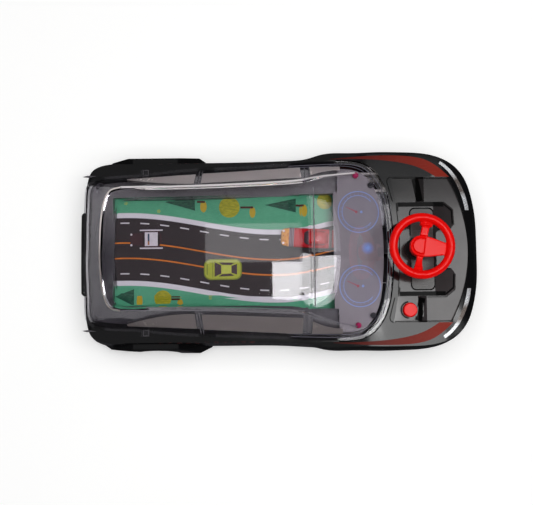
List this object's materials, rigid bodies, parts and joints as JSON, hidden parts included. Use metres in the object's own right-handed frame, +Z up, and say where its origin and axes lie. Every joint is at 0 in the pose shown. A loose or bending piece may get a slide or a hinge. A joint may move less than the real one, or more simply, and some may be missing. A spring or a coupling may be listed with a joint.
{
  "type": "tabletop car racing game",
  "caption": "Tabletop racing toy shaped like a car: a clear canopy over a scrolling road film, a steering wheel and push button on the bonnet, and a small car that the wheel steers.",
  "frame": {"origin": "on the table, under the middle of the box that holds the whole toy", "axes": "+X towards the bonnet and the player, +Y to the car's left, +Z up"},
  "size_m": [0.3003, 0.1516, 0.0865],
  "materials": {
    "black_gloss": "gloss",
    "dark_panel": "semi-gloss",
    "bezel_grey": "satin",
    "red_plastic": "gloss",
    "trim_red": "gloss",
    "clear_plastic": "clear gloss",
    "silver_clear": "silvered clear",
    "led_red": "translucent",
    "led_blue": "translucent",
    "film_print": "printed film",
    "black_matte": "fine texture",
    "car_red": "gloss",
    "car_dark": "tinted",
    "white_plastic": "moulded",
    "roller_grey": "moulded",
    "steel": "plated",
    "screw_black": "black oxide",
    "pcb_green": "solder mask",
    "component_black": "moulded",
    "cell_wrap": "printed wrap",
    "rubber": "matte",
    "tyre_black": "moulded tread",
    "hub_silver": "silver paint"
  },
  "bodies": {
    "housing": {"upper_shell": "black_gloss", "lower_shell": "black_gloss", "fender_trim_left": "trim_red", "fender_trim_right": "trim_red", "headlight_lens_left": "silver_clear", "headlight_lens_right": "silver_clear", "clear_canopy": "clear_plastic", "canopy_screws": "steel", "screen_bezel": "bezel_grey", "instrument_panel": "bezel_grey", "panel_screws": "screw_black", "corner_leds": "led_red", "panel_led": "led_blue", "console_insert": "dark_panel", "console_pad": "dark_panel", "column_collar": "black_matte", "column_bracket": "black_matte", "button_spring": "steel", "button_board": "pcb_green", "tact_switch": "component_black", "road_film": "film_print", "film_support_plate": "white_plastic", "left_side_plate": "white_plastic", "right_side_plate": "white_plastic", "gear_pins": "steel", "gearbox_cover": "white_plastic", "gearbox_screws": "steel", "motor_can": "steel", "battery_door": "black_matte", "battery_door_screw": "steel", "batteries": "cell_wrap", "battery_contacts": "steel", "main_pcb": "pcb_green", "pcb_components": "component_black", "speaker": "black_matte", "power_switch_body": "component_black", "case_screws": "steel", "rubber_feet": "rubber", "tyres": "tyre_black", "hubcaps": "hub_silver"},
    "steering": {"steering_wheel": "red_plastic", "hub_cap": "red_plastic", "hub_screw": "steel", "steering_shaft": "black_matte", "car_arm": "black_matte", "player_car": "car_red", "player_car_cabin": "car_dark"},
    "fire_button": {"push_button": "red_plastic"},
    "power_slide": {"power_slider": "black_matte"},
    "front_roller": {"drive_roller": "roller_grey", "drive_roller_axle": "steel", "roller_gear": "white_plastic"},
    "rear_roller": {"idler_roller": "roller_grey", "idler_roller_axle": "steel"},
    "gear_a": {"double_gear_a": "white_plastic"},
    "gear_b": {"double_gear_b": "white_plastic"},
    "motor_rotor": {"motor_shaft": "steel", "motor_pinion": "white_plastic"}
  },
  "joints": [
    {"name": "steering_turn", "type": "hinge", "parent": "housing", "child": "steering", "pos_m": [0.1025, 0, 0.06], "axis": [0, 0, 1], "range_deg": [-9.7, 24.3]},
    {"name": "button_press", "type": "slide", "parent": "housing", "child": "fire_button", "axis": [0, 0, -1], "range_m": [0, 0.002], "stiffness_N_per_m": 250, "springref_m": -0.0008, "deforming": ["button_spring"]},
    {"name": "power_switch_slide", "type": "slide", "parent": "housing", "child": "power_slide", "axis": [1, 0, 0], "range_m": [0, 0.005]},
    {"name": "drive_roller_spin", "type": "hinge", "parent": "housing", "child": "front_roller", "pos_m": [0.034, 0, 0.0271], "axis": [0, 1, 0], "continuous": true},
    {"name": "idler_roller_spin", "type": "hinge", "parent": "housing", "child": "rear_roller", "pos_m": [-0.115, 0, 0.0271], "axis": [0, 1, 0], "continuous": true},
    {"name": "gear_a_spin", "type": "hinge", "parent": "housing", "child": "gear_a", "pos_m": [0.04758, 0.051, 0.02371], "axis": [0, 1, 0], "continuous": true},
    {"name": "gear_b_spin", "type": "hinge", "parent": "housing", "child": "gear_b", "pos_m": [0.06148, 0.054, 0.02201], "axis": [0, 1, 0], "continuous": true},
    {"name": "motor_spin", "type": "hinge", "parent": "housing", "child": "motor_rotor", "pos_m": [0.07537, 0.05, 0.0203], "axis": [0, 1, 0], "continuous": true}
  ],
  "couplings": [
    {"joint": "idler_roller_spin", "follows": "drive_roller_spin", "ratio": 1},
    {"joint": "gear_a_spin", "follows": "drive_roller_spin", "ratio": -3},
    {"joint": "gear_b_spin", "follows": "drive_roller_spin", "ratio": 9},
    {"joint": "motor_spin", "follows": "drive_roller_spin", "ratio": -27}
  ]
}
